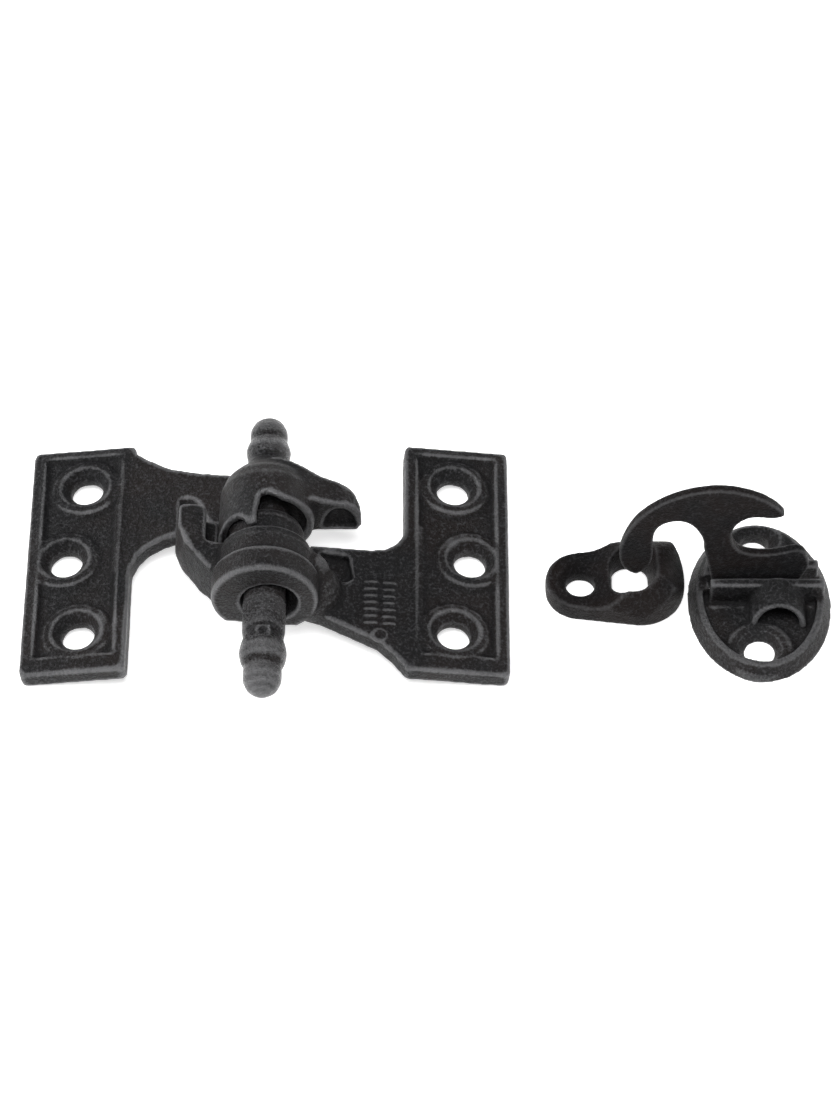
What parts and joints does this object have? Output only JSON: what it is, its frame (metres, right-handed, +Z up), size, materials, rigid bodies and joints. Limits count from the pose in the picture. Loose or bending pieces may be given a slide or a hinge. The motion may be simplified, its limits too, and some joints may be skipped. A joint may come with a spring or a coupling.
{
  "type": "shutter hinge and hook catch set",
  "caption": "Black cast-iron shutter hardware: a lift-off locking hinge with a finial-tipped pin, and a gravity hook on an oval case caught in a teardrop keeper.",
  "frame": {"origin": "centre of the footprint on the surface the set lies on", "axes": "+X from the hinge towards the catch, +Y towards the far end of the hinge pin, +Z up off the surface"},
  "size_m": [0.168, 0.071, 0.0352],
  "materials": {
    "black_cast_iron": "sand-cast, painted satin black",
    "black_steel": "blackened steel"
  },
  "bodies": {
    "casing_leaf": {"casing_leaf": "black_cast_iron"},
    "shutter_leaf": {"shutter_leaf": "black_cast_iron"},
    "keeper": {"keeper": "black_cast_iron"},
    "latch_case": {"latch_case": "black_cast_iron", "latch_pivot_pin": "black_steel"},
    "latch_lever": {"latch_lever": "black_cast_iron"}
  },
  "joints": [
    {"name": "hinge_swing", "type": "hinge", "parent": "casing_leaf", "child": "shutter_leaf", "pos_m": [-0.0336, 0.006, 0.01419], "axis": [0, 1, 0], "range_deg": [0, 188]},
    {"name": "keeper_lift", "type": "slide", "parent": "casing_leaf", "child": "keeper", "axis": [0, 0, 1], "range_m": [0, 0.05]},
    {"name": "catch_lift", "type": "slide", "parent": "keeper", "child": "latch_case", "axis": [0, 0, 1], "range_m": [0, 0.05]},
    {"name": "hook_swing", "type": "hinge", "parent": "latch_case", "child": "latch_lever", "pos_m": [0.0724, 0.0007, 0.0034], "axis": [0, 1, 0], "range_deg": [0, 35]}
  ]
}
